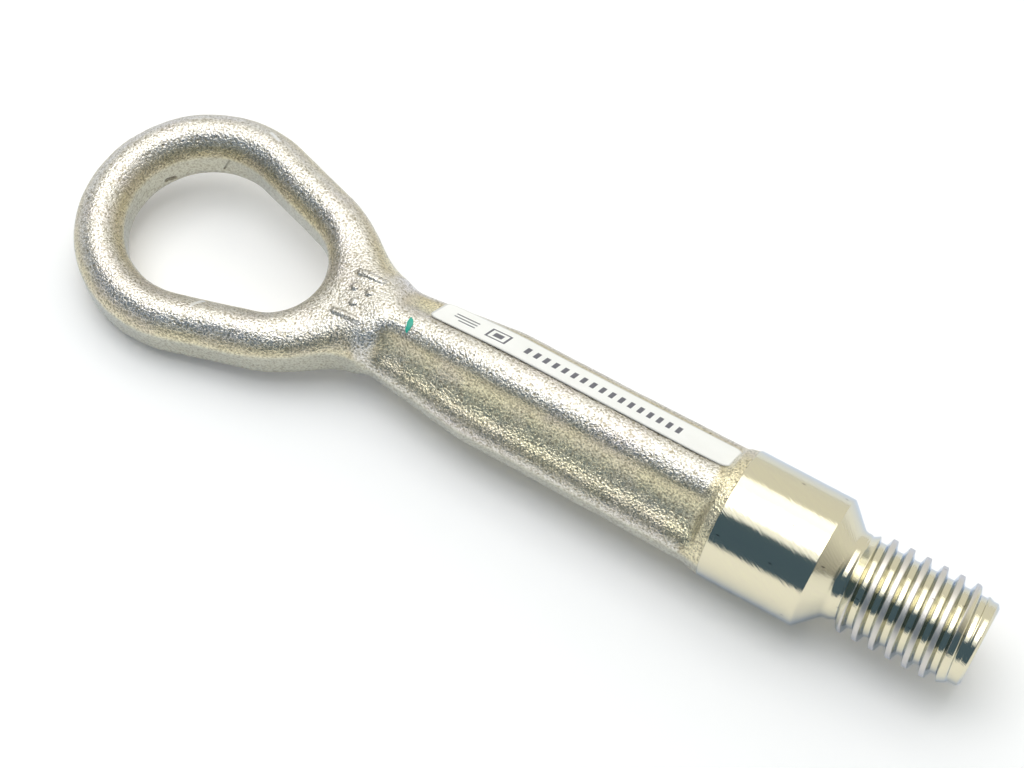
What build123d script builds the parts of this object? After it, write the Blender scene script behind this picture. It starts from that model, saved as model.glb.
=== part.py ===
from build123d import *
import os
from math import radians, sqrt, tan

# A forged tow eye that screws into a socket behind a car's bumper, and the strip label stuck along its shank.
# X runs along the shank from the eye to the screw tip, and Z is square to the plane of the eye.
# The origin is on the axis, at the front edge of the collar. All sizes are millimetres.

# Eye, a bar closed into a pear shape
eye_far_radius = 19.0  # middle of the bar, round the far end
eye_near_radius = 14.6  # middle of the bar, at the shank end
eye_spread = 15.3  # between the centres of the two bends
eye_reach = 27.5  # from the centre of the near bend to the waist
bar_width = 9.2
bar_height = 12.0
bar_crown = 0.6  # flat left along the top of the bar

# Neck between the eye and the shank, from a broad oval to a round
neck_root_offset = 13.7  # from the centre of the near bend
neck_root_width = 26.0
neck_root_height = 11.8
neck_middle_offset = 18.5
neck_middle_width = 20.2
neck_middle_height = 14.8
neck_end_offset = 24.7
neck_end_width = 17.5
neck_flank = 1.8  # height of the straight flank, in the broad part
neck_end_flank = 0.2
neck_runout_length = 1.8
neck_runout_depth = 2.4

# Shank with four lobes and four grooves, and its taper down to the waist. The two side lobes lie in the plane
# of the eye, where the flash was trimmed off, so they end in a narrow flat.
shank_length = 44.2  # from the land behind the collar to the start of the taper
lobe_crest = 11.0
front_side_crest = 11.7  # of the side lobes before trimming, at the collar
side_crest = 11.45  # and at the start of the taper
lobe_radius = 4.6
groove_radius = 7.5
flash_trim = 0.2
taper_length = 20.3
waist_crest = 8.85
waist_side_crest = 9.05
waist_lobe_radius = 3.7
waist_groove_radius = 7.0
root_length = 4.5  # of the lobes past the waist, sunk in the neck
root_crest = 8.4
root_side_crest = 8.6
root_lobe_radius = 3.5
root_groove_radius = 6.0

# Round land behind the collar, where the grooves run out
land_radius = 11.45
land_length = 1.8
land_runout_length = 1.8
land_runout_depth = 3.5
flare_length = 1.6
flare_step = 0.15  # left between the flare and the collar's edge

# Turned collar that pilots in the socket, its seat cone and the relief before the thread
collar_radius = 12.0
collar_length = 17.9
cone_angle = 45.0
relief_radius = 8.05
relief_length = 1.15
relief_fillet = 1.2
relief_ramp = 0.6

# Coarse right-hand thread
screw_length = 29.1  # from the collar's front edge to the tip
thread_radius = 9.12
thread_depth = 1.47
thread_pitch = 3.1
thread_phase = 3.35  # where the ridge would cross the top side first, from the collar's front edge
ridge_base = 2.0
ridge_top = 0.75
ridge_sink = 0.3  # of the ridge into the core
lead_in_angle = 33.0
tip_angle = 25.0
tip_radius = 7.0
tip_chamfer = 0.5  # along the axis, on the core

# Strip label, stretched over the groove between the top lobe and a side lobe
label_width = 8.7
label_shift = 1.05  # off the middle of the groove, towards the top lobe
label_thickness = 0.25
label_corner = 1.6
label_front_setback = 1.3  # from the land
label_back_setback = 4.45  # from the ramp of the neck
label_clearance = 0.03

# Stations along the axis
collar_back = -collar_length
land_back = collar_back - land_length
taper_front = land_back - shank_length
waist = taper_front - taper_length
eye_near = waist - eye_reach
eye_far = eye_near - eye_spread
neck_end = eye_near + neck_end_offset
cone_front = (collar_radius - relief_radius) / tan(radians(cone_angle))
relief_front = cone_front + relief_length
label_front = land_back - label_front_setback
label_back = neck_end + neck_runout_length + label_back_setback

# Sizes that follow
bar_edge_radius = (bar_width - bar_crown) / 2
bends = ((eye_far, eye_far_radius), (eye_near, eye_near_radius))
thread_root = thread_radius - thread_depth
ridge_slope = (ridge_base - ridge_top) / 2 / thread_depth
ridge_foot = thread_root - ridge_sink
foot_half = ridge_base / 2 + ridge_slope * ridge_sink
envelope_inside = tip_radius - ridge_sink
envelope_outside = thread_radius + ridge_sink
lead_in_length = (envelope_outside - thread_root) / tan(radians(lead_in_angle))
tip_cone_length = (envelope_outside - tip_radius) / tan(radians(tip_angle))


# Rounded oval of the neck, square to the axis
def neck_section(offset, width, height, flank):
    with BuildSketch(Plane.YZ.offset(eye_near + offset)) as section:
        RectangleRounded(width, height, (height - flank) / 2)
    return section.sketch


# A quarter of the lobed section: middles of the top and side lobes, and the way out between them
def lobe_middles(crest, side, lobe):
    top = Vector(0, crest - lobe)
    beside = Vector(side - lobe, 0)
    outward = Vector(top.Y, beside.X).normalized()
    return top, beside, outward


# Four lobes joined by tangent groove arcs, square to the axis, with the side lobes trimmed flat
def lobed_section(station, crest, side, lobe, groove):
    top, beside, outward = lobe_middles(crest, side, lobe)
    apart = (top - beside).length / 2
    groove_centre = (top + beside) / 2 + outward * sqrt((lobe + groove) ** 2 - apart**2)
    top_meeting = top + (groove_centre - top).normalized() * lobe
    side_meeting = beside + (groove_centre - beside).normalized() * lobe
    with BuildSketch(Plane.YZ.offset(station)) as section:
        with BuildLine():
            ThreePointArc((-top_meeting.X, top_meeting.Y), (0, crest), top_meeting)
            ThreePointArc(top_meeting, groove_centre - outward * groove, side_meeting)
            ThreePointArc(side_meeting, (side, 0), (side_meeting.X, -side_meeting.Y))
            mirror(edges()[1], about=Plane.XZ)
            mirror(edges()[0], about=Plane.XZ)
            mirror(edges()[1:4], about=Plane.YZ)
        make_face()
        Rectangle(2 * (side - flash_trim), 2 * crest, mode=Mode.INTERSECT)
    return section.sketch


# Middle of the label on the flat that touches the top lobe and a side lobe, and the way across it
def label_seat(crest, side, lobe):
    top, beside, outward = lobe_middles(crest, side, lobe)
    across = (top - beside).normalized()
    lift = lobe + label_clearance + label_thickness / 2
    return (top + beside) / 2 + outward * lift + across * label_shift, across


# Section of the blank that the label is cut from
def label_section(station, middle, across):
    with BuildSketch(Plane((station, middle.X, middle.Y), (0, across.X, across.Y), (1, 0, 0))) as section:
        Rectangle(label_width + label_corner, label_thickness)
    return section.sketch


# Value part of the way along the taper
def along_taper(station, start, end):
    return start + (end - start) * (taper_front - station) / taper_length


with BuildPart() as thread:
    # Ridge of the thread, one long turn of it round the axis
    with BuildLine() as lead:
        Helix(
            pitch=thread_pitch,
            height=screw_length - thread_phase + thread_pitch,
            radius=thread_radius,
            center=(thread_phase, 0, 0),
            direction=(1, 0, 0),
        )
    with BuildSketch(Plane.XZ):
        with BuildLine():
            Polyline(
                (thread_phase - ridge_top / 2, thread_radius),
                (thread_phase - foot_half, ridge_foot),
                (thread_phase + foot_half, ridge_foot),
                (thread_phase + ridge_top / 2, thread_radius),
                close=True,
            )
        make_face()
    sweep(path=lead.line, is_frenet=True)
    # Cut to the lead-in at the relief and to the cone at the tip
    with BuildSketch():
        with BuildLine():
            Polyline(
                (relief_front, envelope_inside),
                (relief_front, thread_root),
                (relief_front + lead_in_length, envelope_outside),
                (screw_length - tip_cone_length, envelope_outside),
                (screw_length, tip_radius),
                (screw_length, envelope_inside),
                close=True,
            )
        make_face()
    revolve(axis=Axis.X, mode=Mode.INTERSECT)

with BuildPart() as tow_eye:
    # Eye, with its rims rounded off
    with BuildSketch():
        for bend, radius in bends:
            with Locations((bend, 0)):
                Circle(radius + bar_width / 2)
        make_hull()
        with BuildSketch(mode=Mode.SUBTRACT):
            for bend, radius in bends:
                with Locations((bend, 0)):
                    Circle(radius - bar_width / 2)
            make_hull()
    extrude(amount=bar_height / 2, both=True)
    rims = edges().group_by(Axis.Z)
    fillet(rims[0] + rims[-1], bar_edge_radius)

    # Neck, and the short ramp where it drops into the grooves
    neck_round = neck_section(neck_end_offset, neck_end_width, neck_end_width, neck_end_flank)
    ramp_width = neck_end_width - 2 * neck_runout_depth
    loft(
        [
            neck_section(neck_root_offset, neck_root_width, neck_root_height, neck_flank),
            neck_section(neck_middle_offset, neck_middle_width, neck_middle_height, neck_flank),
            neck_round,
        ]
    )
    ramp_end = neck_section(neck_end_offset + neck_runout_length, ramp_width, ramp_width, neck_end_flank)
    loft([neck_round, ramp_end], ruled=True)

    # Lobed shank and its taper
    lobes_front = collar_back + flare_length
    loft(
        [
            lobed_section(lobes_front, lobe_crest, front_side_crest, lobe_radius, groove_radius),
            lobed_section(taper_front, lobe_crest, side_crest, lobe_radius, groove_radius),
            lobed_section(waist, waist_crest, waist_side_crest, waist_lobe_radius, waist_groove_radius),
            lobed_section(waist - root_length, root_crest, root_side_crest, root_lobe_radius, root_groove_radius),
        ],
        ruled=True,
    )

    # Land, collar, seat cone, relief and core of the screw
    with BuildSketch():
        with BuildLine():
            Polyline(
                (land_back - land_runout_length, 0),
                (land_back - land_runout_length, land_radius - land_runout_depth),
                (land_back, land_radius),
                (collar_back - flare_length, land_radius),
                (collar_back, collar_radius - flare_step),
                (collar_back, collar_radius),
                (0, collar_radius),
                (cone_front, relief_radius),
                (relief_front, relief_radius),
                (relief_front + relief_ramp, thread_root),
                (screw_length - tip_chamfer, thread_root),
                (screw_length, tip_radius),
                (screw_length, 0),
                close=True,
            )
        make_face()
        fillet(vertices().sort_by_distance((cone_front, relief_radius))[0], relief_fillet)
    revolve(axis=Axis.X)
    add(thread.part)

# The label is flat over the straight lobes and bends once, down along the taper
with BuildPart() as label_strip:
    back_crest = along_taper(label_back, lobe_crest, waist_crest)
    back_side = along_taper(label_back, side_crest, waist_side_crest)
    back_lobe = along_taper(label_back, lobe_radius, waist_lobe_radius)
    middle, across = label_seat(lobe_crest, side_crest, lobe_radius)
    loft(
        [
            label_section(label_front, *label_seat(lobe_crest, front_side_crest, lobe_radius)),
            label_section(taper_front, middle, across),
            label_section(label_back, *label_seat(back_crest, back_side, back_lobe)),
        ],
        ruled=True,
    )
    label_centre = ((label_front + label_back) / 2, middle.X, middle.Y)
    with BuildSketch(Plane(label_centre, (1, 0, 0), (0, across.Y, -across.X))):
        RectangleRounded(label_front - label_back, label_width, label_corner)
    extrude(amount=lobe_crest, both=True, mode=Mode.INTERSECT)

os.makedirs("parts", exist_ok=True)
tow_eye.part.label = "tow_eye"
label_strip.part.label = "label_strip"
export_step(tow_eye.part, "parts/tow_eye.step")
export_step(label_strip.part, "parts/label_strip.step")
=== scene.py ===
import math

import bmesh
import bpy
import numpy as np
from mathutils import Matrix, Vector, noise


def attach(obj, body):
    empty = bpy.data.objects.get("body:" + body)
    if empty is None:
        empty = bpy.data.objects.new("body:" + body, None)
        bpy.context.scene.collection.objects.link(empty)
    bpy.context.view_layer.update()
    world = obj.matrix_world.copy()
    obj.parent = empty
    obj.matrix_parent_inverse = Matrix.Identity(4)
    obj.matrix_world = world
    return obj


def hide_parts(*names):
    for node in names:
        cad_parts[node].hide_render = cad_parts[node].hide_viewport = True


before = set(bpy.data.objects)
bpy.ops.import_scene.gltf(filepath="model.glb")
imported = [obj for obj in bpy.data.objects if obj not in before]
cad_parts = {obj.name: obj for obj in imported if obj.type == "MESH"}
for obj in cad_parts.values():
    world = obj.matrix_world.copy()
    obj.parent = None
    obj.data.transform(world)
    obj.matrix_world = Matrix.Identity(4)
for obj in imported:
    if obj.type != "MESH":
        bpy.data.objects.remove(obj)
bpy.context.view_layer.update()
scene = bpy.context.scene
mm = 0.001
print("frame loaded:", sorted(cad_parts))


# sRGB hex to the linear colour that the shaders take
def linear(hexText):
    parts = [int(hexText[i:i + 2], 16) / 255 for i in (1, 3, 5)]
    return tuple(p / 12.92 if p <= 0.04045 else ((p + 0.055) / 1.055) ** 2.4 for p in parts) + (1.0,)


# adds one node: attributes in settings, fixed socket values in values, (node, output) pairs in links
def addNode(tree, kind, settings=None, values=None, links=None):
    node = tree.nodes.new("ShaderNode" + kind)
    for name, value in (settings or {}).items():
        setattr(node, name, value)
    for socket, value in (values or {}).items():
        node.inputs[socket].default_value = value
    for socket, (source, output) in (links or {}).items():
        tree.links.new(source.outputs[output], node.inputs[socket])
    return node


def newMaterial(name):
    material = bpy.data.materials.new(name)
    material.use_nodes = True
    material.node_tree.nodes.clear()
    return material, material.node_tree


def addObject(name, mesh):
    made = bpy.data.objects.new(name, mesh)
    scene.collection.objects.link(made)
    return made


# a finished piece: its materials, its body and the CAD node that it stands for
def addPiece(name, mesh, material, stands=None):
    mesh.materials.clear()
    for one in material if isinstance(material, list) else [material]:
        mesh.materials.append(one)
    piece = addObject(name, mesh)
    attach(piece, "root")
    if stands:
        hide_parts(stands)
    print(name + ":", len(mesh.polygons), "faces")
    return piece


# smooth step from 0 at low to 1 at high
def ease(value, low, high):
    t = np.clip((value - low) / (high - low), 0, 1)
    return t * t * (3 - 2 * t)


# value at x between the knots of a table, with the corners rounded off over a few mm
def along(x, knots, column=1, spread=2.5):
    places = [knot[0] for knot in knots]
    levels = [knot[column] for knot in knots]
    return sum(np.interp(x + d * spread, places, levels) for d in (-1, -0.6, -0.2, 0.2, 0.6, 1)) / 6


# the lower of two distances, with a soft change over
def meet(a, b, blend):
    h = np.clip(0.5 + 0.5 * (b - a) / blend, 0, 1)
    return b + (a - b) * h - blend * h * (1 - h)


# the forging as its die left it, in mm: knots are a place along the axis and the values there
forging = {
    "voxel": 0.52,
    "collarBack": -17.9,
    "eyeBends": ((-127.0, 19.0), (-111.7, 14.6)),  # place and radius at the middle of the bar
    "barHalf": 4.6,
    "barCrown": 0.8,  # how much further the top of the bar falls from its middle to its sides
    "crownFade": (-108.0, -100.0),  # where that fades out, towards the web
    "webBack": -104.0, "webScale": 0.93,  # the scale makes up for the slant of the web's sides
    "webHalf": ((-106.0, 13.0), (-97.0, 11.4), (-93.0, 9.8), (-89.0, 9.4), (-86.0, 8.9)),
    "webBlend": 5.0,
    "top": ((-103.0, 6.0), (-98.0, 6.05), (-93.2, 7.4), (-87.0, 8.75), (-84.0, 8.9)),
    # radius of the edges, and what was cut off the flanks with the flash
    "edge": ((-103.0, 4.3), (-98.0, 5.0), (-93.2, 6.5), (-87.0, 8.65), (-84.0, 8.75)),
    "trim": ((-101.0, 0.14), (-95.0, 0.45), (-90.0, 0.35), (-86.0, 0.1)),
    "trimSpan": (-0.3, 0.05),  # of the flank against the rounded skin, over which the trimmed look sets in
    # the ramp from the neck into the grooves: its length and drop, its blend, and how far the lobes run in
    "neckEnd": -87.0, "neckRadius": 9.0, "neckRamp": (3.4, 2.6), "rampBlend": 0.8, "lobeSink": 8.0,
    # crest of the top and bottom lobes, crest of the side lobes before trimming, lobe radius, groove radius
    "lobes": ((-96.0, 5.8, 6.4, 3.4, 6.0), (-88.7, 8.4, 8.75, 3.5, 6.0), (-84.2, 8.85, 9.15, 3.7, 7.0),
              (-76.0, 9.72, 10.1, 4.05, 7.2), (-65.5, 11.0, 11.5, 4.6, 7.5), (-56.0, 11.0, 11.38, 4.6, 7.5),
              (-27.0, 11.0, 11.62, 4.6, 7.5), (-21.0, 11.22, 11.7, 4.6, 7.5),
              (-18.0, 11.4, 11.72, 4.6, 7.5)),
    "lobeTrim": 0.2,
    "landBack": -19.7, "landRadius": 11.45, "landRamp": (2.4, 3.5), "flare": (1.6, 0.4),  # lengths and drops
    "stepBlend": 1.1,
    "overrun": 3.0, "looseEnd": 1.2,  # past the collar's back: where the rough mesh and the moved points end
    "evening": (6, 3, 1, 0),  # rounds of evening out before each draw onto the skin
    "unevenness": 0.07, "unevenSize": 5.0,
    # raised die mark on the web: strokes from one point to another in plan, and half their width
    "mark": (((-95.4, 4.7), (-90.6, 4.7), 0.5), ((-94.6, 1.7), (-94.6, 1.7), 0.75),
             ((-91.4, 1.7), (-91.4, 1.7), 0.75), ((-93.0, -1.2), (-93.0, -1.2), 0.75),
             ((-95.4, -4.1), (-90.6, -4.1), 0.5)),
    "markHeight": 0.42, "markEdge": 0.5, "markBox": ((-97.2, -6.2), (-88.8, 6.8)), "fineCuts": 2,
}


# distance outside the hull of the two bends, grown by extra
def pear(x, y, bends, extra):
    (farX, farR), (nearX, nearR) = bends
    r1, r2, h = farR + extra, nearR + extra, nearX - farX
    side, down = np.abs(y), x - farX
    b = (r1 - r2) / h
    a = math.sqrt(1 - b * b)
    k = -b * side + a * down
    straight = a * side + b * down - r1
    onward = np.where(k > a * h, np.hypot(side, down - h) - r2, straight)
    return np.where(k < 0, np.hypot(side, down) - r1, onward)


# middles of the top and side lobes at x, and their radius
def lobeMiddles(x, s):
    crest, side, lobe = (along(x, s["lobes"], column) for column in (1, 2, 3))
    return crest - lobe, side - lobe, lobe


# distance to the lobed section, by the nearest of the top lobe, the groove and the side lobe
def lobed(x, y, z, s):
    top, beside, lobe = lobeMiddles(x, s)
    groove = along(x, s["lobes"], 4)
    apart = np.hypot(top, beside)
    reach = np.sqrt((lobe + groove) ** 2 - apart ** 2 / 4)
    gy, gz = beside / 2 + top / apart * reach, top / 2 + beside / apart * reach
    a, b = np.abs(y), np.abs(z)
    onTop = gy * (b - top) - (gz - top) * a > 0
    onSide = (gy - beside) * b - gz * (a - beside) < 0
    skin = np.where(onTop, np.hypot(a, b - top), np.hypot(a - beside, b)) - lobe
    skin = np.where(onTop | onSide, skin, groove - np.hypot(a - gy, b - gz))
    cut = a - (beside + lobe - s["lobeTrim"])
    return np.maximum(skin, cut), cut - skin


# wear on the forging: a streak from one point to another, with its half width, in mm
wear = {
    "rub": (((-118.0, -16.0, 5.9), (-117.3, -13.2, 4.7), 0.3),
            ((-125.7, 21.4, 5.5), (-123.6, 20.4, 5.8), 0.25)),
    "pit": (((-139.95, 6.2, -1.25), (-139.35, 7.3, -1.75), 0.4),
            ((-132.2, 13.5, -1.3), (-130.7, 13.9, 2.3), 0.04),
            ((-142.8, -3.1, 5.2), (-142.9, -3.4, 5.2), 0.08), ((-144.6, 3.3, 5.9), (-144.8, 3.0, 5.9), 0.1),
            ((-142.8, 6.0, 5.7), (-142.6, 6.2, 5.7), 0.06), ((-141.6, 9.0, 5.8), (-141.3, 9.1, 5.8), 0.04),
            ((-146.7, -7.1, 5.7), (-146.9, -6.8, 5.7), 0.08)),
    "soft": 0.25,  # width over which a streak fades
    "pitDepth": 0.12,
}


# distance from points to the straight line between two others
def nearSegment(p, start, end):
    a, b = np.array(start), np.array(end)
    t = np.clip((p - a) @ (b - a) / max(((b - a) ** 2).sum(), 1e-9), 0, 1)
    return np.linalg.norm(p - (a + t[:, None] * (b - a)), axis=1)


# distance outside the forging, and how far the trimmed flank stands beyond the rounded skin
def forgedDistance(p, s):
    x, y, z = p.T
    trim = along(x, s["trim"])
    web = np.maximum((np.abs(y) - along(x, s["webHalf"])) * s["webScale"], s["webBack"] - x)
    outer = meet(pear(x, y, s["eyeBends"], s["barHalf"]), web, s["webBlend"])
    plan = np.maximum(outer, -pear(x, y, s["eyeBends"], -s["barHalf"]))
    radius = along(x, s["edge"])
    away = 1 + np.clip(plan / s["barHalf"], -1, 0)  # 0 along the middle of the bar, 1 at its sides
    crown = s["barCrown"] * np.cos(math.pi * away) / 2 * (1 - ease(x, *s["crownFade"]))
    qx, qz = plan - trim + radius, np.abs(z) - (along(x, s["top"]) + crown - radius)
    rounded = np.hypot(np.maximum(qx, 0), np.maximum(qz, 0)) + np.minimum(np.maximum(qx, qz), 0) - radius
    eye = np.maximum(rounded, plan)
    reach = np.hypot(y, z)
    length, drop = s["neckRamp"]
    cone = reach - s["neckRadius"] + (x - s["neckEnd"]) * drop / length
    eye = -meet(-eye, -(cone * length / math.hypot(length, drop)), s["rampBlend"])
    shank, shankFlank = lobed(x, y, z, s)
    shank = np.maximum(shank, s["neckEnd"] - s["lobeSink"] - x)
    skin = meet(eye, shank, s["stepBlend"])
    length, drop = s["landRamp"]
    rise = np.maximum(x - s["collarBack"] + s["flare"][0], 0) * s["flare"][1] / s["flare"][0]
    ramp = reach - s["landRadius"] - (x - s["landBack"]) * drop / length
    land = np.maximum(reach - s["landRadius"] - rise, ramp * length / math.hypot(length, drop))
    flank = np.where(eye < shank, plan - rounded, shankFlank)
    mark = np.zeros_like(x)
    for start, end, half in s["mark"]:
        away = nearSegment(p[:, :2], start, end) - half
        mark = np.maximum(mark, 1 - ease(away, -s["markEdge"] / 2, s["markEdge"] / 2))
    return meet(skin, land, s["stepBlend"]) - s["markHeight"] * mark * (z > 0), flank


def skinSlope(p, s, step=0.02):
    return np.stack([(forgedDistance(p + step * e, s)[0] - forgedDistance(p - step * e, s)[0]) / (2 * step)
                     for e in np.eye(3)], -1)


# moves points onto the skin of the forging along the slope of the distance
def onSkin(p, s, rounds=4):
    for turn in range(rounds):
        slope = skinSlope(p, s)
        move = np.clip(forgedDistance(p, s)[0] / np.maximum((slope ** 2).sum(1), 0.2), -0.6, 0.6)
        p = p - move[:, None] * slope
    return p


def meshArrays(mesh):
    points = np.empty(len(mesh.vertices) * 3)
    mesh.vertices.foreach_get("co", points)
    links = np.empty(len(mesh.edges) * 2, dtype=np.int64)
    mesh.edges.foreach_get("vertices", links)
    return points.reshape(-1, 3) / mm, links.reshape(-1, 2)


# evens out the spacing of the points
def relax(points, links, rounds):
    count = np.bincount(links.ravel(), minlength=len(points)).clip(1)
    for turn in range(rounds):
        start, end = points[links[:, 0]], points[links[:, 1]]
        total = np.stack([np.bincount(links[:, 0], end[:, c], len(points))
                          + np.bincount(links[:, 1], start[:, c], len(points)) for c in range(3)], -1)
        points = points + (total / count[:, None] - points) * 0.5
    return points


# the mesh behind x, with the cut closed or left open
def cutAt(mesh, x, close):
    work = bmesh.new()
    work.from_mesh(mesh)
    bmesh.ops.remove_doubles(work, verts=work.verts, dist=1e-6)
    whole = work.verts[:] + work.edges[:] + work.faces[:]
    bmesh.ops.bisect_plane(work, geom=whole, plane_co=(x * mm, 0, 0), plane_no=(1, 0, 0), clear_outer=True)
    if close:
        bmesh.ops.holes_fill(work, edges=[edge for edge in work.edges if edge.is_boundary])
    result = bpy.data.meshes.new("cut")
    work.to_mesh(result)
    work.free()
    return result


# strength of one kind of wear at points
def wornAt(points, kind):
    level = np.zeros(len(points))
    for start, end, half in wear[kind]:
        level = np.maximum(level, 1 - ease(nearSegment(points, start, end), half, half + wear["soft"]))
    return level


# smaller faces round the die mark and the wear
def refine(mesh, s):
    (x0, y0), (x1, y1) = s["markBox"]
    work = bmesh.new()
    work.from_mesh(mesh)
    middles = np.array([face.calc_center_median() for face in work.faces]) / mm
    x, y, z = middles.T
    fine = (x0 < x) & (x < x1) & (y0 < y) & (y < y1) & (z > 0)
    for start, end, half in wear["rub"] + wear["pit"]:
        fine |= nearSegment(middles, start, end) < half + 1.0
    edges = {edge for face, one in zip(work.faces, fine) if one for edge in face.edges}
    bmesh.ops.subdivide_edges(work, edges=list(edges), cuts=s["fineCuts"], use_grid_fill=True)
    work.to_mesh(mesh)
    work.free()


# even mesh over the CAD solid behind the collar, drawn onto the die's form
def forgedBody(node, s):
    holder = addObject("rough_forging", cutAt(node.data, s["collarBack"] + s["overrun"], True))
    remesh = holder.modifiers.new("voxels", "REMESH")
    remesh.mode = "VOXEL"
    remesh.voxel_size = s["voxel"] * mm
    fine = bpy.data.meshes.new_from_object(holder.evaluated_get(bpy.context.evaluated_depsgraph_get()))
    bpy.data.objects.remove(holder)
    refine(fine, s)
    points, links = meshArrays(fine)
    free = points[:, 0] < s["collarBack"] + s["looseEnd"]
    for rounds in s["evening"]:
        points[free] = onSkin(relax(points, links, rounds), s)[free]
    wave = np.array([noise.fractal(Vector(p / s["unevenSize"]), 0.5, 2.0, 2) for p in points])
    slope = skinSlope(points, s)
    lift = s["unevenness"] * wave * (1 - ease(points[:, 0], s["landBack"], s["collarBack"]))
    lift -= wear["pitDepth"] * wornAt(points, "pit")
    points[free] += (slope / np.linalg.norm(slope, axis=1).clip(0.1)[:, None] * lift[:, None])[free]
    fine.vertices.foreach_set("co", (points * mm).ravel())
    return cutAt(fine, s["collarBack"], False)


def setMask(mesh, name, values):
    layer = mesh.attributes.new(name, "FLOAT", "POINT")
    layer.data.foreach_set("value", np.asarray(values, dtype=np.float32))


# the turned end: collar, seat cone, relief, thread and tip, as rings of points round the axis
turnedEnd = {
    "around": 180,
    "back": -17.9, "backInner": 11.87, "radius": 12.0, "edgeRound": 0.12, "frontRound": 0.2,
    "coneFront": 3.95, "reliefRadius": 8.05, "reliefFillet": 1.2, "reliefFront": 5.1, "reliefRamp": 0.6,
    "threadRadius": 9.12, "threadRoot": 7.65, "pitch": 3.1, "phase": 3.35,
    "ridgeBase": 2.0, "ridgeTop": 0.9, "crestRound": 0.06, "leadIn": 33.0,
    "tipAngle": 25.0, "tip": 29.1, "tipRadius": 7.0, "tipChamfer": 0.5,
    # rows of the mesh, by their distance from the middle of the ridge
    "ridgeRows": (0.0, 0.22, 0.36, 0.42, 0.48, 0.56, 0.74, 0.9, 0.97, 1.05, 1.3),
}


def arcPoints(centre, radius, start, end, count):
    angles = np.radians(np.linspace(start, end, count))
    return [(centre[0] + radius * math.cos(a), centre[1] + radius * math.sin(a)) for a in angles]


# radius of the threaded stretch at x and at an angle round the axis
def threadRadiusAt(x, angle, s):
    shift = x - s["phase"] - s["pitch"] * angle / (2 * math.pi)
    ridge = np.zeros_like(shift)
    offsets = np.linspace(-s["crestRound"], s["crestRound"], 7)  # averaging over these rounds the ridge off
    slope = (s["ridgeBase"] - s["ridgeTop"]) / 2
    for offset in offsets:
        away = np.abs((shift + offset + s["pitch"] / 2) % s["pitch"] - s["pitch"] / 2)
        ridge += np.clip((s["ridgeBase"] / 2 - away) / slope, 0, 1) / len(offsets)
    ridge = s["threadRoot"] + (s["threadRadius"] - s["threadRoot"]) * ridge
    leadIn = s["threadRoot"] + (x - s["reliefFront"]) * math.tan(math.radians(s["leadIn"]))
    tipCone = s["tipRadius"] + (s["tip"] - x) * math.tan(math.radians(s["tipAngle"]))
    drop = s["reliefRadius"] - s["threadRoot"]
    ramp = s["reliefRadius"] - (x - s["reliefFront"]) / s["reliefRamp"] * drop
    chamfer = s["tipRadius"] + (s["tip"] - x) / s["tipChamfer"] * (s["threadRoot"] - s["tipRadius"])
    core = np.minimum(np.maximum(ramp, s["threadRoot"]), chamfer)
    return np.maximum(core, np.minimum(ridge, np.minimum(leadIn, tipCone)))


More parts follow.
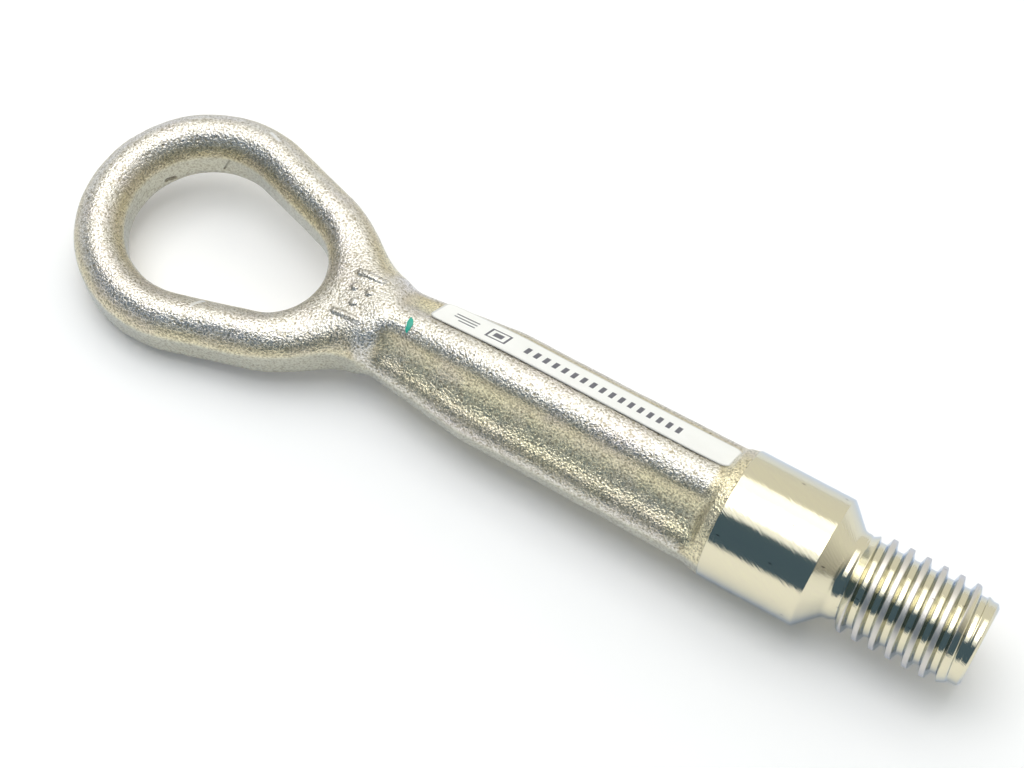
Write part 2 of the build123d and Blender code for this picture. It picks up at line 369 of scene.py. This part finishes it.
# profile rings are set close at the edges and wide between them
def turnedMesh(s):
    back, radius, bevel, front = s["back"], s["radius"], s["edgeRound"], s["frontRound"]
    coneFront, fillet = s["coneFront"], s["reliefFillet"]
    profile = [(back, s["backInner"])] + arcPoints((back + bevel, radius - bevel), bevel, 180, 90, 4)[1:]
    profile += [(x, radius) for x in (back + 0.25, *np.linspace(back + 1, -1, 8), -0.22)]
    profile += arcPoints((-front * math.tan(math.radians(22.5)), radius - front), front, 90, 45, 6)
    profile += [(x, radius - x) for x in (0.18, *np.linspace(0.6, coneFront - 0.9, 5), coneFront - 0.65)]
    reach = fillet * math.tan(math.radians(22.5))
    profile += arcPoints((coneFront + reach, s["reliefRadius"] + fillet), fillet, 225, 270, 7)
    profile.append((s["reliefFront"] - 0.1, s["reliefRadius"]))
    turns = np.linspace(0, 2 * math.pi, s["around"], endpoint=False)
    level = np.ones_like(turns)
    # rows of the thread follow its ridge, so that the crest keeps its edges, and stop at both ends
    half, end = np.array(s["ridgeRows"]), s["tip"] - s["tipChamfer"]
    ridge = np.concatenate([-half[:0:-1], half])
    rows = (s["phase"] + s["pitch"] * np.arange(-1, 9)[:, None] + ridge).ravel()
    rows = np.clip(rows[:, None] + s["pitch"] * turns / (2 * math.pi), s["reliefFront"], end)
    first, wound = len(profile), len(profile) + len(rows)
    chamfer = np.linspace(end, s["tip"], 5)[1:, None] * level
    inner = np.array([0.97, 0.6])[:, None] * s["tipRadius"] * level
    profile = np.array(profile)[:, :, None] * level
    xs = np.concatenate([profile[:, 0], rows, chamfer, np.full_like(inner, s["tip"])])
    wave = threadRadiusAt(np.concatenate([rows, chamfer]), turns, s)
    radii = np.concatenate([profile[:, 1], wave, inner])
    points = np.stack([xs, -radii * np.sin(turns), radii * np.cos(turns)], -1).reshape(-1, 3) * mm
    faces = []
    for ring in range(len(xs) - 1):
        for k in range(s["around"]):
            n = (k + 1) % s["around"]
            # a full turn on, the rows are those of the next ridge
            onward = len(ridge) if n == 0 and first <= ring < wound - 1 else 0
            low, high = (ring + onward) * s["around"], (ring + 1 + onward) * s["around"]
            if onward == 0 or ring + 1 + onward < wound:
                faces.append((ring * s["around"] + k, (ring + 1) * s["around"] + k, high + n, low + n))
    last = (len(xs) - 1) * s["around"]
    faces.append(tuple(range(last, last + s["around"])))
    mesh = bpy.data.meshes.new("turned_end")
    mesh.from_pydata(points.tolist(), [], faces)
    onThread = (xs > s["reliefFront"]) & (xs < s["tip"] - 0.8)
    high = ease(radii, s["threadRadius"] - 0.3, s["threadRadius"] - 0.05)
    setMask(mesh, "crest", (onThread * high).ravel())
    work = bmesh.new()
    work.from_mesh(mesh)
    bmesh.ops.remove_doubles(work, verts=work.verts, dist=0.001 * mm)
    bmesh.ops.dissolve_degenerate(work, edges=work.edges, dist=0.001 * mm)
    work.to_mesh(mesh)
    work.free()
    return mesh


# drop forged steel, blasted and zinc plated with a pale yellow passivate: a grainy satin metal,
# calmer where the flash was trimmed off; its colours by depth below the crowns and the dark dips of its
# grain are partly its own and partly painted highlight, shade and light
forgedLook = {
    "crown": "#EFEBE2",  # film on the crowns, where it is thinnest, made whiter as a painted highlight tone
    "side": "#DDD2B2",  # on the sides below them, darker as painted shade where the dark reflections fall
    "poolFilmAndPaintedLight": "#F5ECC8",  # in the grooves, low on the eye and on the land, where it is thickest, and paler there as painted light
    "blush": "#DDD0D0",  # patches
    "trimmed": "#D4D2C0",
    "edgeTint": "#E6EDFF",
    "rubbed": "#F4F3F0",
    "pitted": "#6E6656",
    "hollowToneAndShade": "#A0977F",  # in the dips of the grain: partly a darker tone of the cavities, partly painted shade
    "roughness": 0.25, "roughSpread": (-0.06, 0.1),
    "finish": {"trimmed": 0.34, "hollowToneAndShade": 0.36, "rubbed": 0.5, "pitted": 0.6},  # roughness there
    "grainSize": 0.40, "gritSize": 0.17,  # mm, the grain coarser than the real one so that it shows
    "grainHeight": 0.2, "gritShare": 0.3,  # mm, and what the grit adds to the grain
    "trimmedGrain": 0.8,  # of the grain, left on trimmed flanks
    "dipSpan": (0.56, 0.3),  # of the grain's height, from the edge of a dip to its bottom, where the darker tone and painted shade set in
    "patchSize": 7.0, "patchSpan": (0.45, 0.7), "patchStrength": 0.35,
    "chipSpan": (0.3, 0.6), "chipLeast": 0.35,  # the grit breaks up the pits
    "filmDepth": 2.4,  # mm below a crown, where the film is thickest
    "filmStops": (0.1, 0.42, 0.95),  # of that depth, for crown, side and pool
    "eyeShare": 0.6, "landDepth": 2.0,  # the eye counts as shallower, and the land as lying lower, so that it takes the paler groove colour as painted light
}


def forgedZinc(look):
    material, tree = newMaterial("forged_steel_yellow_zinc")
    place = addNode(tree, "TexCoord")
    grain = addNode(tree, "TexNoise",
                    values={"Scale": 1 / (look["grainSize"] * mm), "Detail": 2.0, "Roughness": 0.5},
                    links={"Vector": (place, "Object")})
    grit = addNode(tree, "TexNoise", values={"Scale": 1 / (look["gritSize"] * mm), "Detail": 1.0},
                   links={"Vector": (place, "Object")})
    patch = addNode(tree, "TexNoise", values={"Scale": 1 / (look["patchSize"] * mm), "Detail": 3.0},
                    links={"Vector": (place, "Object")})
    # colours by depth below the crowns: partly the passivate's own, partly painted highlight on the crowns,
    # painted shade on the sides and painted light in the grooves and on the land
    depth = addNode(tree, "Attribute", settings={"attribute_name": "depth"})
    film = addNode(tree, "ValToRGB", links={"Fac": (depth, "Fac")})
    stops = film.color_ramp.elements
    stops[0].position, stops[0].color = look["filmStops"][0], linear(look["crown"])
    stops[1].position, stops[1].color = look["filmStops"][2], linear(look["poolFilmAndPaintedLight"])
    stops.new(look["filmStops"][1]).color = linear(look["side"])
    low, high = look["patchSpan"]
    patchy = addNode(tree, "MapRange",
                     values={"From Min": low, "From Max": high, "To Max": look["patchStrength"]},
                     links={"Value": (patch, "Fac")})
    tint = addNode(tree, "Mix", settings={"data_type": "RGBA"}, values={7: linear(look["blush"])},
                   links={0: (patchy, "Result"), 6: (film, "Color")})
    trim = addNode(tree, "Attribute", settings={"attribute_name": "trim"})
    rub = addNode(tree, "Attribute", settings={"attribute_name": "rub"})
    pit = addNode(tree, "Attribute", settings={"attribute_name": "pit"})
    calm = addNode(tree, "MapRange", values={"To Min": 1.0, "To Max": look["trimmedGrain"]},
                   links={"Value": (trim, "Fac")})
    # the dips of the grain darken: partly a darker cavity tone, partly painted shade
    low, high = look["dipSpan"]
    dipToneAndShade = addNode(tree, "MapRange", values={"From Min": low, "From Max": high},
                  links={"Value": (grain, "Fac"), "To Max": (calm, "Result")})
    low, high = look["chipSpan"]
    broken = addNode(tree, "MapRange",
                     values={"From Min": low, "From Max": high, "To Min": look["chipLeast"]},
                     links={"Value": (grit, "Fac")})
    chipped = addNode(tree, "Math", settings={"operation": "MULTIPLY"},
                      links={0: (pit, "Fac"), 1: (broken, "Result")})
    low, high = (look["roughness"] + spread for spread in look["roughSpread"])
    even = addNode(tree, "MapRange", values={"To Min": low, "To Max": high}, links={"Value": (grit, "Fac")})
    colour, rough = (tint, 2), (even, "Result")
    masks = {"trimmed": (trim, "Fac"), "hollowToneAndShade": (dipToneAndShade, "Result"),
             "rubbed": (rub, "Fac"), "pitted": (chipped, 0)}
    for name, mask in masks.items():
        mix = addNode(tree, "Mix", settings={"data_type": "RGBA"}, values={7: linear(look[name])},
                      links={0: mask, 6: colour})
        blend = addNode(tree, "Mix", values={3: look["finish"][name]}, links={0: mask, 2: rough})
        colour, rough = (mix, 2), (blend, 0)
    relief = addNode(tree, "Math", settings={"operation": "MULTIPLY_ADD"}, values={1: look["gritShare"]},
                     links={0: (grit, "Fac"), 2: (grain, "Fac")})
    bump = addNode(tree, "Bump", values={"Distance": look["grainHeight"] * mm},
                   links={"Height": (relief, 0), "Strength": (calm, "Result")})
    skin = addNode(tree, "BsdfPrincipled",
                   values={"Metallic": 1.0, "Specular Tint": linear(look["edgeTint"])},
                   links={"Base Color": colour, "Roughness": rough, "Normal": (bump, "Normal")})
    addNode(tree, "OutputMaterial", links={"Surface": (skin, "BSDF")})
    return material


# the same plate over turned steel: nearly a mirror, yellower, and bluish at a grazing angle, with slanting
# tool lines and a few short scratches; the crests of the thread are duller from the rolling
turnedLook = {
    "plate": "#E5E0BF",
    "line": "#DDD3BE",
    "crest": "#DAD5CD",
    "scratch": "#6A5F58",
    "edgeTint": "#D0E0FF",
    "roughness": 0.11,
    "crestRoughness": 0.4,
    "lineSpacing": 0.34,  # mm, coarser than the real feed lines so that they show
    "lineLength": 3.0,
    "lineSlant": -30.0,  # degrees off the axis
    "lineHeight": 0.02,
    "lineEnd": (0.2, 0.4),  # mm behind the tip, where they set in, so that the end face has none
    "scratchGrid": (12.0, 4.0),  # mm along and round the part
    "scratchShare": 0.5,  # of the cells have no scratch
    "scratchReach": 0.035,  # of a cell
}


def turnedZinc(look):
    material, tree = newMaterial("turned_steel_yellow_zinc")
    place = addNode(tree, "TexCoord")
    split = addNode(tree, "SeparateXYZ", links={"Vector": (place, "Object")})
    turn = addNode(tree, "Math", settings={"operation": "ARCTAN2"},
                   links={0: (split, "Y"), 1: (split, "Z")})
    girth = addNode(tree, "Math", settings={"operation": "MULTIPLY"}, values={1: turnedEnd["radius"] * mm},
                    links={0: (turn, 0)})
    unrolled = addNode(tree, "CombineXYZ", links={"X": (split, "X"), "Y": (girth, 0)})
    slant = addNode(tree, "VectorRotate", settings={"rotation_type": "Z_AXIS"},
                    values={"Angle": math.radians(-look["lineSlant"])}, links={"Vector": (unrolled, 0)})
    stretch = addNode(tree, "VectorMath", settings={"operation": "MULTIPLY"},
                      values={1: (1 / (look["lineLength"] * mm), 1 / (look["lineSpacing"] * mm), 1)},
                      links={0: (slant, 0)})
    lines = addNode(tree, "TexNoise", values={"Scale": 1.0, "Detail": 2.0, "Roughness": 0.6},
                    links={"Vector": (stretch, 0)})
    crest = addNode(tree, "Attribute", settings={"attribute_name": "crest"})
    tint = addNode(tree, "Mix", settings={"data_type": "RGBA"},
                   values={6: linear(look["plate"]), 7: linear(look["line"])}, links={0: (lines, "Fac")})
    worn = addNode(tree, "Mix", settings={"data_type": "RGBA"}, values={7: linear(look["crest"])},
                   links={0: (crest, "Fac"), 6: (tint, 2)})
    cells = addNode(tree, "VectorMath", settings={"operation": "MULTIPLY"},
                    values={1: tuple(1 / (size * mm) for size in look["scratchGrid"]) + (1,)},
                    links={0: (unrolled, 0)})
    spots = addNode(tree, "TexVoronoi", settings={"voronoi_dimensions": "2D"}, values={"Scale": 1.0},
                    links={"Vector": (cells, 0)})
    chosen = addNode(tree, "Math", settings={"operation": "GREATER_THAN"}, values={1: look["scratchShare"]},
                     links={0: (spots, "Color")})
    close = addNode(tree, "MapRange",
                    values={"From Min": look["scratchReach"], "From Max": look["scratchReach"] * 0.4},
                    links={"Value": (spots, "Distance")})
    scratch = addNode(tree, "Math", settings={"operation": "MULTIPLY"},
                      links={0: (close, "Result"), 1: (chosen, 0)})
    marked = addNode(tree, "Mix", settings={"data_type": "RGBA"}, values={7: linear(look["scratch"])},
                     links={0: (scratch, 0), 6: (worn, 2)})
    rough = addNode(tree, "MapRange",
                    values={"To Min": look["roughness"], "To Max": look["crestRoughness"]},
                    links={"Value": (crest, "Fac")})
    none, full = ((turnedEnd["tip"] - behind) * mm for behind in look["lineEnd"])
    short = addNode(tree, "MapRange", values={"From Min": none, "From Max": full},
                    links={"Value": (split, "X")})
    bump = addNode(tree, "Bump", values={"Distance": look["lineHeight"] * mm},
                   links={"Height": (lines, "Fac"), "Strength": (short, "Result")})
    skin = addNode(tree, "BsdfPrincipled",
                   values={"Metallic": 1.0, "Specular Tint": linear(look["edgeTint"])},
                   links={"Base Color": (marked, 2), "Roughness": (rough, "Result"),
                          "Normal": (bump, "Normal")})
    addNode(tree, "OutputMaterial", links={"Surface": (skin, "BSDF")})
    return material


# how far points lie below the crowns of the lobes or of the eye, in mm
def depthAt(p, s, look):
    x, y, z = p.T
    top, beside, lobe = lobeMiddles(x, s)
    reach = np.hypot(y, z).clip(0.01)
    crown = np.hypot((beside + lobe) * y, (top + lobe) * z) / reach
    onShank = ease(x, s["neckEnd"] - 5, s["neckEnd"] + 1)
    onLand = ease(x, s["landBack"] - 3, s["landBack"])
    onEye = (1 - onShank) * look["eyeShare"] * (along(x, s["top"]) - np.abs(z))
    # the land counts as deeper so that it takes the paler colour of the grooves, which is painted light
    return onShank * (crown - reach) + onEye + look["landDepth"] * onLand


# one closed mesh: the forged body and the turned end, joined at the back of the collar
def buildForging(node, s):
    body = forgedBody(node, s)
    points, _ = meshArrays(body)
    flank = forgedDistance(points, s)[1]
    setMask(body, "depth", np.clip(depthAt(points, s, forgedLook) / forgedLook["filmDepth"], 0, 1))
    setMask(body, "trim", ease(flank, *s["trimSpan"]))
    setMask(body, "rub", wornAt(points, "rub"))
    setMask(body, "pit", wornAt(points, "pit"))
    both = bmesh.new()
    both.from_mesh(body)
    forgedFaces = len(both.faces)
    rim = [edge for edge in both.edges if edge.is_boundary]
    both.from_mesh(turnedMesh(turnedEnd))
    hem = [edge for edge in both.edges if edge.is_boundary and edge not in set(rim)]
    for index, face in enumerate(both.faces):
        face.material_index = 0 if index < forgedFaces else 1
    bridge = bmesh.ops.bridge_loops(both, edges=rim + hem)
    for face in bridge["faces"]:
        face.material_index = 1
    bmesh.ops.recalc_face_normals(both, faces=both.faces)
    for face in both.faces:
        face.smooth = True
    print("open edges left:", sum(edge.is_boundary for edge in both.edges))
    whole = bpy.data.meshes.new("forging")
    both.to_mesh(whole)
    both.free()
    index = np.empty(len(whole.polygons), dtype=np.int32)
    whole.polygons.foreach_get("material_index", index)
    steels = [forgedZinc(forgedLook), turnedZinc(turnedLook)]
    piece = addPiece("forging", whole, steels, "tow_eye")
    whole.polygons.foreach_set("material_index", index)
    whole.calc_loop_triangles()
    print("forging:", len(whole.loop_triangles), "triangles")
    return piece


forgingPiece = buildForging(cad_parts["tow_eye"], forging)

# strip label, in mm: it lies on the flat that touches the top lobe and a side lobe
label = {
    "front": -20.6, "back": -80.1, "width": 8.7, "corner": 1.6,
    "shift": ((-80.0, -0.75), (-66.0, 1.05)),  # of its middle towards the top lobe
    "lift": 0.1, "thickness": 0.16,
    "film": "#F1F1EE", "worn": "#E8E8E3", "margin": "#CDCDC9", "marginWidth": 0.45,
    "roughness": 0.38, "mottleSize": 3.0,
}


# point of the label: x along, v across from its middle towards the top lobe, up off the seat;
# it bends round a lobe where it reaches past the line that it rests on
def labelPoint(x, v, up, s):
    top, beside, lobe = lobeMiddles(np.asarray(x, dtype=float), forging)
    apart = np.hypot(top, beside)
    outY, outZ = top / apart, beside / apart
    height = lobe + s["lift"] + up
    aside = v + along(x, s["shift"])
    past = np.maximum(np.abs(aside) - apart / 2, 0) / height
    aside = np.clip(aside, -apart / 2, apart / 2) + np.sign(aside) * height * np.sin(past)
    height = height * np.cos(past)
    y = beside / 2 + outY * height - outZ * aside
    z = top / 2 + outZ * height + outY * aside
    return np.stack(np.broadcast_arrays(x, y, z), -1)


# matt white print film: pale and even, slightly mottled where it was handled
def printFilm(s):
    material, tree = newMaterial("white_polyester_film")
    place = addNode(tree, "TexCoord")
    mottle = addNode(tree, "TexNoise", values={"Scale": 1 / (s["mottleSize"] * mm), "Detail": 3.0},
                     links={"Vector": (place, "Object")})
    tint = addNode(tree, "Mix", settings={"data_type": "RGBA"},
                   values={6: linear(s["film"]), 7: linear(s["worn"])}, links={0: (mottle, "Fac")})
    margin = addNode(tree, "Attribute", settings={"attribute_name": "margin"})
    edge = addNode(tree, "Mix", settings={"data_type": "RGBA"}, values={7: linear(s["margin"])},
                   links={0: (margin, "Fac"), 6: (tint, 2)})
    skin = addNode(tree, "BsdfPrincipled", values={"Roughness": s["roughness"], "IOR": 1.5},
                   links={"Base Color": (edge, 2)})
    addNode(tree, "OutputMaterial", links={"Surface": (skin, "BSDF")})
    return material


# closed thin sheet over a grid of (x, v) points
def sheetMesh(name, xs, vs, under, over, s):
    rows, columns = xs.shape
    low, high = labelPoint(xs, vs, under, s), labelPoint(xs, vs, over, s)
    points = np.concatenate([low.reshape(-1, 3), high.reshape(-1, 3)]) * mm
    count = rows * columns
    faces = []
    for r in range(rows - 1):
        for c in range(columns - 1):
            a, e = r * columns + c, (r + 1) * columns + c
            b, d = a + 1, e + 1
            faces += [(a, b, d, e), (count + e, count + d, count + b, count + a)]
    border = list(range(columns)) + [r * columns + columns - 1 for r in range(1, rows)]
    border += [(rows - 1) * columns + c for c in range(columns - 2, -1, -1)]
    border += [r * columns for r in range(rows - 2, 0, -1)]
    for a, b in zip(border, border[1:] + border[:1]):
        faces.append((b, a, count + a, count + b))
    mesh = bpy.data.meshes.new(name)
    mesh.from_pydata(points.tolist(), [], faces)
    return mesh


def buildLabel(s):
    half, corner = s["width"] / 2, s["corner"]
    bend = corner * (1 - np.cos(np.linspace(0, math.pi / 2, 9)))
    straight = np.linspace(s["back"] + corner, s["front"] - corner, 90)[1:-1]
    stations = np.concatenate([s["back"] + bend, straight, (s["front"] - bend)[::-1]])
    fromEnd = np.minimum(np.minimum(stations - s["back"], s["front"] - stations), corner)
    edge = half - corner + np.sqrt(np.maximum(corner ** 2 - (corner - fromEnd) ** 2, 0))
    across = np.concatenate([[-1, -0.97], np.linspace(-0.9, 0.9, 17), [0.97, 1]])
    xs = np.repeat(stations[:, None], len(across), 1)
    vs = edge[:, None] * across[None, :]
    mesh = sheetMesh("label", xs, vs, 0.0, s["thickness"], s)
    inside = np.minimum(edge[:, None] - np.abs(vs), fromEnd[:, None] + 0 * vs)
    margin = 1 - ease(inside, s["marginWidth"] * 0.7, s["marginWidth"]).ravel()
    setMask(mesh, "margin", np.concatenate([margin, margin]))
    return addPiece("label", mesh, printFilm(s), "label_strip")


buildLabel(label)

# plain marks on the label, each from x to x and from v to v in mm
printing = {
    "ink": "#4C4C55", "faded": "#6A6A70", "fadeSize": 1.5, "roughness": 0.5, "height": 0.02,
    "dashes": {"start": -62.0, "pitch": 1.87, "count": 17, "width": 0.85, "half": 1.3},
    "frame": {"x": (-69.6, -65.5), "v": (-2.1, 2.1), "line": 0.4, "dot": 0.9},
    "rules": ((-76.8, -72.0, -1.2), (-76.8, -72.0, 0.0), (-75.4, -72.0, 1.2)), "ruleHalf": 0.2,
}


# printing ink: dark grey, slightly faded in places
def printInk(s):
    material, tree = newMaterial("printing_ink")
    place = addNode(tree, "TexCoord")
    fade = addNode(tree, "TexNoise", values={"Scale": 1 / (s["fadeSize"] * mm), "Detail": 2.0},
                   links={"Vector": (place, "Object")})
    tint = addNode(tree, "Mix", settings={"data_type": "RGBA"},
                   values={6: linear(s["ink"]), 7: linear(s["faded"])}, links={0: (fade, "Fac")})
    skin = addNode(tree, "BsdfPrincipled", values={"Roughness": s["roughness"]},
                   links={"Base Color": (tint, 2)})
    addNode(tree, "OutputMaterial", links={"Surface": (skin, "BSDF")})
    return material


def buildPrint(s):
    dash, square = s["dashes"], s["frame"]
    starts = [dash["start"] + dash["pitch"] * k for k in range(dash["count"])]
    marks = [(x, x + dash["width"], -dash["half"], dash["half"]) for x in starts]
    (x0, x1), (v0, v1), line = square["x"], square["v"], square["line"]
    middle = (x0 + x1) / 2
    marks += [(x0, x0 + line, v0, v1), (x1 - line, x1, v0, v1)]
    marks += [(x0 + line, x1 - line, v0, v0 + line), (x0 + line, x1 - line, v1 - line, v1)]
    marks.append((middle - square["dot"], middle + square["dot"], -square["dot"], square["dot"]))
    marks += [(a, b, v - s["ruleHalf"], v + s["ruleHalf"]) for a, b, v in s["rules"]]
    work = bmesh.new()
    for a, b, low, high in marks:
        xs, vs = np.meshgrid(np.linspace(a, b, 4), np.linspace(low, high, 4), indexing="ij")
        under, over = label["thickness"], label["thickness"] + s["height"]
        work.from_mesh(sheetMesh("mark", xs, vs, under, over, label))
    mesh = bpy.data.meshes.new("label_print")
    work.to_mesh(mesh)
    work.free()
    return addPiece("label_print", mesh, printInk(s))


buildPrint(printing)

# dab of marking paint across the top of the neck, in mm
paint = {
    "middle": (-81.65, -0.75), "halves": (0.55, 1.5), "turn": 8.0, "thickness": 0.07, "edgeHeight": 0.05,
    "wet": "#00A389", "thin": "#3FB39C", "streakSize": 0.6, "roughness": 0.35,
}


# glossy marking paint: a blue-green film, thinner and paler in places
def markingPaint(s):
    material, tree = newMaterial("marking_paint")
    place = addNode(tree, "TexCoord")
    streak = addNode(tree, "TexNoise", values={"Scale": 1 / (s["streakSize"] * mm), "Detail": 3.0},
                     links={"Vector": (place, "Object")})
    tint = addNode(tree, "Mix", settings={"data_type": "RGBA"},
                   values={6: linear(s["wet"]), 7: linear(s["thin"])}, links={0: (streak, "Fac")})
    skin = addNode(tree, "BsdfPrincipled", values={"Roughness": s["roughness"]},
                   links={"Base Color": (tint, 2)})
    addNode(tree, "OutputMaterial", links={"Surface": (skin, "BSDF")})
    return material


def buildPaint(s):
    around, rings = 40, 8
    angles = np.linspace(0, 2 * math.pi, around, endpoint=False)
    ragged = 1 + 0.13 * np.sin(3 * angles + 1) + 0.07 * np.sin(7 * angles)
    reach = np.linspace(0, 1, rings + 1)[1:, None]
    a = reach * ragged * np.cos(angles) * s["halves"][0]
    b = reach * ragged * np.sin(angles) * s["halves"][1]
    turn = math.radians(s["turn"])
    x = s["middle"][0] + a * math.cos(turn) - b * math.sin(turn)
    y = s["middle"][1] + a * math.sin(turn) + b * math.cos(turn)
    x, y = np.append(x.ravel(), s["middle"][0]), np.append(y.ravel(), s["middle"][1])
    skin = onSkin(np.stack([x, y, np.full_like(x, 9.0)], -1), forging, 6)
    out = skinSlope(skin, forging)
    out /= np.linalg.norm(out, axis=1)[:, None]
    lift = s["edgeHeight"] + s["thickness"] * np.sqrt(1 - np.append(np.repeat(reach, around), 0) ** 2)
    points = np.concatenate([skin + out * lift[:, None], skin - out * s["edgeHeight"]]) * mm
    count = len(skin)
    faces = []
    for side, base in ((1, 0), (-1, count)):
        for k in range(around):
            n = (k + 1) % around
            cells = [(count - 1, k, n)]
            for low in range(0, (rings - 1) * around, around):
                cells.append((low + k, low + around + k, low + around + n, low + n))
            faces += [tuple(base + i for i in cell[::side]) for cell in cells]
    edge = (rings - 1) * around
    for k in range(around):
        n = (k + 1) % around
        faces.append((edge + n, edge + k, count + edge + k, count + edge + n))
    mesh = bpy.data.meshes.new("paint_dab")
    mesh.from_pydata(points.tolist(), [], faces)
    return addPiece("paint_dab", mesh, markingPaint(s))


buildPaint(paint)

# floor that the part lies on, in m, leaning as the part rests on the collar and the near side of the eye
table = {"up": (0.0237, 0.172, 0.9848), "half": 0.9, "middle": -0.06, "colour": "#FAFAFA", "whiten": 0.07}


# matt white table: a plain diffuse floor, lifted to white a little where it is seen straight or mirrored
def layTable(s):
    up = Vector(s["up"]).normalized()
    points, _ = meshArrays(forgingPiece.data)
    height = float((points @ np.array(up)).min()) * mm
    lengthwise = (Vector((1, 0, 0)) - up * up.x).normalized()
    across = up.cross(lengthwise)
    middle = up * height + lengthwise * s["middle"]
    signs = ((-1, -1), (1, -1), (1, 1), (-1, 1))
    corners = [middle + (lengthwise * i + across * j) * s["half"] for i, j in signs]
    mesh = bpy.data.meshes.new("table")
    mesh.from_pydata([tuple(c) for c in corners], [], [(0, 1, 2, 3)])
    material, tree = newMaterial("matt_white_table")
    skin = addNode(tree, "BsdfDiffuse", values={"Color": linear(s["colour"])})
    rays = addNode(tree, "LightPath")
    mirrored = addNode(tree, "Math", settings={"operation": "MAXIMUM"},
                       links={0: (rays, "Is Glossy Ray"), 1: (rays, "Is Transmission Ray")})
    seen = addNode(tree, "Math", settings={"operation": "MAXIMUM"},
                   links={0: (rays, "Is Camera Ray"), 1: (mirrored, 0)})
    whiten = addNode(tree, "Math", settings={"operation": "MULTIPLY"}, values={1: s["whiten"]},
                     links={0: (seen, 0)})
    glow = addNode(tree, "Emission", links={"Strength": (whiten, 0)})
    both = addNode(tree, "AddShader", links={0: (skin, "BSDF"), 1: (glow, "Emission")})
    addNode(tree, "OutputMaterial", links={"Surface": (both, "Shader")})
    mesh.materials.append(material)
    addObject("table", mesh)
    print("table laid")
    return up, lengthwise, across


up, lengthwise, across = layTable(table)

# lamps over the table: lean is from straight up towards the far side, in degrees, size is along the part
# and across it, in m
lamps = {
    "softbox": {"lean": 0.2, "along": -0.22, "distance": 0.9, "size": (0.95, 1.26), "radiance": 1.14},
    "key": {"lean": -5.8, "along": -0.24, "distance": 0.88, "size": (0.80, 0.51), "radiance": 2.02},
}


def hangLamps(setups):
    for name, s in setups.items():
        lean = math.radians(s["lean"])
        away = up * math.cos(lean) + across * math.sin(lean)
        data = bpy.data.lights.new(name, "AREA")
        data.shape = "RECTANGLE"
        data.size, data.size_y = s["size"]
        data.energy = s["radiance"] * math.pi * s["size"][0] * s["size"][1]
        lamp = addObject(name, data)
        lamp.matrix_world = Matrix((lengthwise, away.cross(lengthwise), away)).transposed().to_4x4()
        lamp.location = Vector((table["middle"], 0, 0)) + away * s["distance"] + lengthwise * s["along"]
    print("lamps hung")


hangLamps(lamps)

# the room: dim and bluish on the near side and pale on the far side; each colour has the sine of its lean
# towards the far side
room = {"near": ("#4C6276", -0.34), "middle": ("#A0A09C", -0.14), "far": ("#EAEAE4", 0.42)}


def lightRoom(s):
    world = bpy.data.worlds.new("room")
    scene.world = world
    world.use_nodes = True
    tree = world.node_tree
    tree.nodes.clear()
    place = addNode(tree, "TexCoord")
    side = addNode(tree, "VectorMath", settings={"operation": "DOT_PRODUCT"}, values={1: tuple(across)},
                   links={0: (place, "Generated")})
    lows, highs = s["near"][1], s["far"][1]
    share = addNode(tree, "MapRange", values={"From Min": lows, "From Max": highs},
                    links={"Value": (side, "Value")})
    shade = addNode(tree, "ValToRGB", links={"Fac": (share, "Result")})
    shade.color_ramp.elements[0].color = linear(s["near"][0])
    shade.color_ramp.elements[1].color = linear(s["far"][0])
    shade.color_ramp.elements.new((s["middle"][1] - lows) / (highs - lows)).color = linear(s["middle"][0])
    back = addNode(tree, "Background", links={"Color": (shade, "Color")})
    addNode(tree, "OutputWorld", links={"Surface": (back, "Background")})
    print("room lit")


lightRoom(room)

# camera where the photograph was taken from, in mm and degrees
view = {
    "place": (30.42, -135.03, 350.12), "turn": (25.290, 1.510, 31.000),
    "focal": 2198.07, "imageWidth": 1024, "sensor": 36.0,  # the first two in pixels, the sensor in mm
}
cameraData = bpy.data.cameras.new("camera")
cameraData.sensor_width = view["sensor"]
cameraData.lens = view["focal"] / view["imageWidth"] * view["sensor"]
cameraData.clip_start = 0.01
camera = addObject("camera", cameraData)
camera.location = Vector(view["place"]) * mm
camera.rotation_euler = [math.radians(a) for a in view["turn"]]
scene.camera = camera
scene.view_settings.view_transform = "Standard"
print("camera set")
